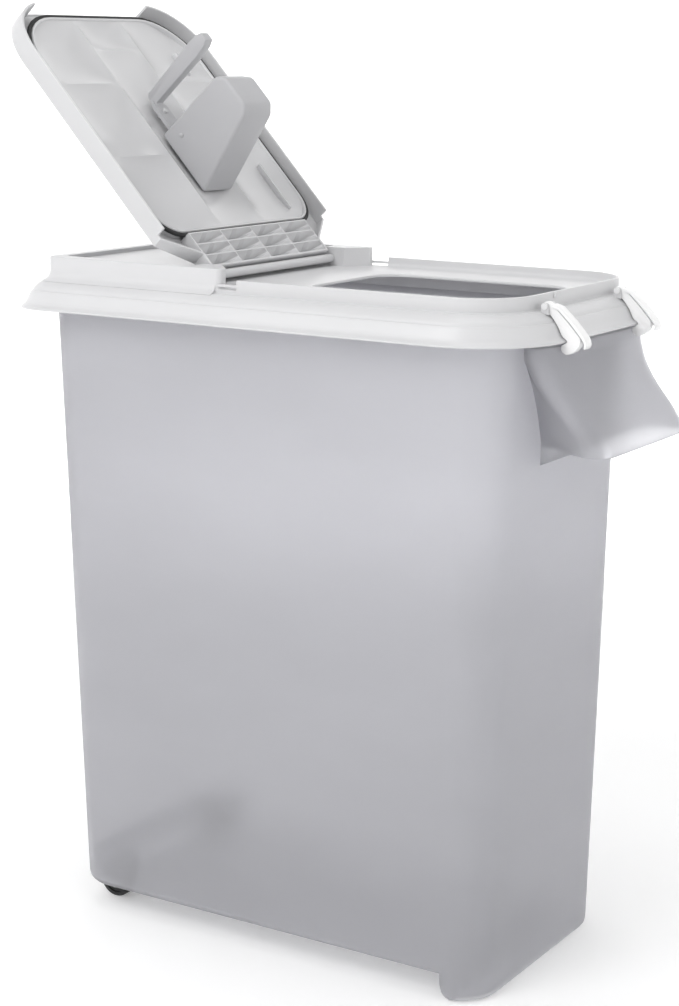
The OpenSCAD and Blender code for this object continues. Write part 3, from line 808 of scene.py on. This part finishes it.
def make_liner():
    """The liner with its coves between ribs, the beads, the edge ridge and the gasket."""
    x0, x1, hw = LINER[:3]
    outer_rows = [x0 + 2, *OUTER_RIBS_X, x1 - 2]
    middle_rows = [x0 + 2, MIDDLE_RIB_X, x1 - 2]

    def cove(u):
        return max(0.0, 1 - abs(2 * u - 1) ** 2.2)

    def under(x, y):
        if abs(y) <= LONG_RIB_Y:
            rows = middle_rows
            v = (y + LONG_RIB_Y) / (2 * LONG_RIB_Y)
        else:
            rows = outer_rows
            v = (abs(y) - LONG_RIB_Y) / (hw - 2 - LONG_RIB_Y)
        x_in = min(max(x, rows[0]), rows[-1])
        i = min(sum(1 for r in rows[1:-1] if x_in > r), len(rows) - 2)
        u = (x_in - rows[i]) / (rows[i + 1] - rows[i])
        v = min(max(v, 0), 1)
        return LINER_LAND_Z + COVE_DEPTH * cove(u) ** 0.8 * cove(v) ** 0.8

    def split(knots, step):
        out = []
        for a, b in zip(knots, knots[1:]):
            n = max(2, round((b - a) / step))
            out += [a + (b - a) * i / n for i in range(n)]
        return out + [knots[-1]]

    xs = split([x0 - 1, x0 + 2, *OUTER_RIBS_X, MIDDLE_RIB_X, x1 - 2, x1 + 1], COVE_STEP)
    ys = split([-hw - 1, -hw + 2, -LONG_RIB_Y, LONG_RIB_Y, hw - 2, hw + 1], COVE_STEP)
    liner = grid_solid("liner", xs, ys, under, FLAP_TOP - FLAP_T)
    combine(liner, prism("liner_edge", liner_plan(0.4), -20, 20), "INTERSECT")
    finish_piece(on_flap(liner), "flap", "liner_plastic", "flap_liner", sharp=24)

    for x_from, x_to, y in ((62, 112, 92), (226, 250, 88), (160, 172, 96)):
        bead = prism("bead", arc(x_from, y, 1.5, 90, 270, 8) + arc(x_to, y, 1.5, -90, 90, 8),
                     -1.4, 6)
        soften(bead, 0.7, 2, 50)
        finish_piece(on_flap(bead), "flap", "liner_plastic", sharp=50)

    bm = bmesh.new()
    ridge = [(0, FLAP_TOP - FLAP_T), (0, RIDGE_Z + 0.7), (0.5, RIDGE_Z), (1.9, RIDGE_Z),
             (2.6, RIDGE_Z + 0.8), (3.0, FLAP_TOP - FLAP_T)]
    loft(bm, [level(liner_plan(d), z) for d, z in ridge], closed=True)
    finish_piece(on_flap(new_object("liner_ridge", bm)), "flap", "liner_plastic", sharp=50)

    bm = bmesh.new()
    seal = [(-0.05, 1.2), (-0.05, -1.2), (-0.6, -1.8), (-3.0, -1.8), (-3.7, -1.1), (-3.7, 0.6),
            (-3.1, 1.2)]
    loft(bm, [level(liner_plan(d), z) for d, z in seal], closed=True)
    finish_piece(on_flap(new_object("gasket", bm)), "flap", "gasket_rubber", "flap_gasket")


# ---------------------------------------------------------------- scoop

CUP_HW = 22
CUP_T = 1.6
BOSS_X, BOSS_Z = 140, -16


def cup_side(d):
    """The cup's side view: length against height in the flap's frame, drawn in by d."""
    lift = 6 if d else 0
    return [(87 + d, 0.6 + lift), (154 - d, 0.6 + lift), (154 - d, -74 + d), (152.6 - d, -79 + d),
            (146 - d, -85 + d), (143 - d, -86 + d), (118 + d, -86 + d), (114.5 + d, -85 + d),
            (108.2 + d, -79 + d), (106.6 + d, -75 + d)]


def make_scoop():
    """The scoop: an open cup, its bent arm with the peg tab, and two small bosses."""
    cup = prism("cup", cup_side(0), -CUP_HW, CUP_HW, "y")
    soften(cup, 3.2, 4, 50)
    inside = prism("cup_room", cup_side(CUP_T), -CUP_HW + CUP_T, CUP_HW - CUP_T, "y")
    combine(cup, inside, "DIFFERENCE")
    finish_piece(on_flap(cup), "measure", "scoop_plastic", "scoop", sharp=34)

    strap = [(150, -4), (184, -4), (187, -5.5), (187, -66), (188.4, -78), (191, -84),
             (199, -84), (201.4, -78), (202, -68), (199.4, -4.6), (197.4, -1.6), (194, -1),
             (150, -1)]
    arm = prism("scoop_arm", strap, -5.5, 5.5, "y")
    soften(arm, 0.8, 2, 40)
    tab = prism("scoop_tab", [(152, -9), (184, -9), (192, -5.5), (192, 5.5), (184, 9), (152, 9)],
                -4, -1)
    combine(arm, tab, "UNION")
    hole = lathe("peg_hole", [(-20, 0.01), (-20, 2.6), (20, 2.6), (20, 0.01)], (178, 0, 0), 24,
                 "z")
    combine(arm, hole, "DIFFERENCE")
    finish_piece(on_flap(arm), "measure", "scoop_plastic", sharp=34)

    for name, s in (("cup_boss", -1), ("cup_boss_far", 1)):
        boss = lathe(name, [(-s * 0.6, 0.01), (-s * 0.6, 2.2), (s * 0.6, 2.2), (s * 1.1, 1.5),
                            (s * 1.2, 0.01)], (BOSS_X, s * CUP_HW, BOSS_Z), 24)
        finish_piece(on_flap(boss), "measure", "scoop_plastic")


# ---------------------------------------------------------------- hooks

HOOK_HW = 3.6


def hook_side():
    """Side view of a hook: hub, web close to the skirt, and the J under the skirt's edge."""
    points = arc(0, 0, 3.4, 200, 60, 8)
    points += [(6, 0.6), (10.4, -3.6), (20.6, -13.6), (29.6, -23.2), (30.4, -26.4),
               (29.2, -30.6), (26.0, -34.4), (21.4, -37.0), (17.6, -37.4), (14.6, -35.9),
               (13.5, -33.4)]
    points += arc(0, 0, 33.4, -66.2, -56.2, 4)
    points += [(18.4, -26.3), (16.6, -24.9), (14.8, -23.6), (13.4, -21.9), (12.0, -18.9),
               (10.0, -15.3), (7.2, -11.4), (4.4, -8.2), (1.6, -5.4), (-1.4, -3.6)]
    return points


SPINE = [(5, 1.9), (12, -0.4), (23, -10.4), (32.8, -21.0), (35.6, -25.2), (36.3, -28.8),
         (34.9, -32.0), (33.8, -31.4), (34.3, -28.6), (33.4, -25.8), (31.0, -22.6),
         (21.6, -12.4), (11.2, -2.7), (5, -0.8)]


def make_hook(side, body, node):
    """One hook: web, spine flange and thumb knobs. Both have the knobs on the +Y flank."""
    web = prism("web_" + node, hook_side(), -HOOK_HW, HOOK_HW, "y")
    soften(web, 0.7, 2, 35)
    flange = prism("spine_" + node, SPINE, -5.4, 5.4, "y")
    soften(flange, 0.45, 2, 35)
    combine(web, flange, "UNION")
    root, end = HOOK_HW - 0.5, HOOK_HW + 4.0
    for x, z, r in ((24.5, -17.2, 2.6), (29.0, -25.6, 3.0)):
        knob = lathe("knob", [(root, 0.01), (root, r), (end - 1.0, r), (end - 0.3, r - 0.5),
                              (end, r - 1.2), (end, 0.01)], (x, 0, z), 24)
        combine(web, knob, "UNION")
    bore = lathe("hook_bore", [(-9, 0.01), (-9, 1.68), (9, 1.68), (9, 0.01)], (0, 0, 0), 24)
    combine(web, bore, "DIFFERENCE")
    web.data.transform(Matrix.Translation(Vector((HOOK_X, side * HOOK_Y, HOOK_Z)) * MM))
    finish_piece(web, body, "hook_plastic", node, sharp=30)


# ---------------------------------------------------------------- wheels

WHEEL_HW, WHEEL_Y = 8, 79


def make_wheel(side, body, node):
    """One roller with a recessed face and a bore for the axle."""
    half = [(-WHEEL_HW, 3.56), (-WHEEL_HW, 7.2), (-6.6, 7.8), (-6.6, 12.6), (-WHEEL_HW, 13.2),
            (-WHEEL_HW, 15.8), (-7.6, 16.6), (-6.8, WHEEL_R), (-1.2, WHEEL_R), (-0.7, 16.5)]
    profile = half + [(-t, r) for t, r in reversed(half)]
    wheel = lathe("wheel_" + body, profile, (WHEEL_X, side * WHEEL_Y, WHEEL_R), 56)
    finish_piece(wheel, body, "wheel_plastic", node)


make_lid()
make_flap_shell()
make_liner()
make_scoop()
make_hook(-1, "right_hook", "hook_right")
make_hook(1, "left_hook", "hook_left")
make_wheel(-1, "right_roller", "wheel_right")
make_wheel(1, "left_roller", "wheel_left")

# ---------------------------------------------------------------- carried-over CAD nodes

for name, cad in frame["nodes"].items():
    slot_name = next(s["material_slot"] for s in frame["record"]["subparts"] if s["node"] == name)
    cad.data.materials.clear()
    cad.data.materials.append(MATERIALS[slot_name])

# ---------------------------------------------------------------- stage and light


def make_stage():
    """A pale floor that sweeps up into a round wall far behind the object."""
    profile = [(0, 0), (3.2, 0)] + [(3.2 + 1.2 * math.sin(math.radians(a)),
                                      1.2 - 1.2 * math.cos(math.radians(a)))
                                     for a in range(10, 91, 10)] + [(4.4, 5.0)]
    bm = bmesh.new()
    steps = 64
    rings = [[(r * math.cos(2 * math.pi * i / steps), r * math.sin(2 * math.pi * i / steps), z)
              for i in range(steps)] for r, z in profile[1:]]
    rows = loft(bm, rings)
    centre = bm.verts.new((0, 0, 0))
    for i in range(steps):
        bm.faces.new((centre, rows[0][i], rows[0][(i + 1) % steps]))
    mesh = bpy.data.meshes.new("floor")
    bmesh.ops.recalc_face_normals(bm, faces=bm.faces)
    bm.to_mesh(mesh)
    bm.free()
    mesh.shade_smooth()
    floor = bpy.data.objects.new("floor", mesh)
    bpy.context.scene.collection.objects.link(floor)
    material, tree, shader = node_material("floor_paper")
    tree.links.new(tone(tree, spread(tree, noise(tree, 2, 2), 0, 1), (0.86, 0.86, 0.86), 0.01),
                   shader.inputs["Base Color"])
    shader.inputs["Roughness"].default_value = 0.9
    shader.inputs["Specular IOR Level"].default_value = 0.1
    shader.inputs["Emission Color"].default_value = (1, 1, 1, 1)
    shader.inputs["Emission Strength"].default_value = 0.25
    floor.data.materials.append(material)


def add_light(name, azimuth, elevation, distance, size, power, aim=None):
    """A soft panel that stands in a direction from the object and faces it, or faces aim."""
    a, e = math.radians(azimuth), math.radians(elevation)
    back = Vector((math.sin(a) * math.cos(e), -math.cos(a) * math.cos(e), math.sin(e)))
    data = bpy.data.lights.new(name, "AREA")
    data.shape = "DISK"
    data.size = size
    data.energy = power
    lamp = bpy.data.objects.new(name, data)
    lamp.location = CAM_TARGET + back * distance
    if aim:
        back = lamp.location - aim
    lamp.rotation_euler = back.to_track_quat("Z", "Y").to_euler()
    bpy.context.scene.collection.objects.link(lamp)


make_stage()
add_light("key", -14, 42, 3.0, 1.6, 26)
add_light("overhead", 10, 86, 3.2, 2.2, 20)
add_light("backdrop", 205, 30, 1.6, 1.6, 60, Vector((-1.6, 3.2, 0.9)))

world = bpy.data.worlds.new("studio")
world.use_nodes = True
world.node_tree.nodes["Background"].inputs["Color"].default_value = (1, 1, 1, 1)
world.node_tree.nodes["Background"].inputs["Strength"].default_value = 0.36
bpy.context.scene.world = world
bpy.context.scene.view_settings.view_transform = "Standard"
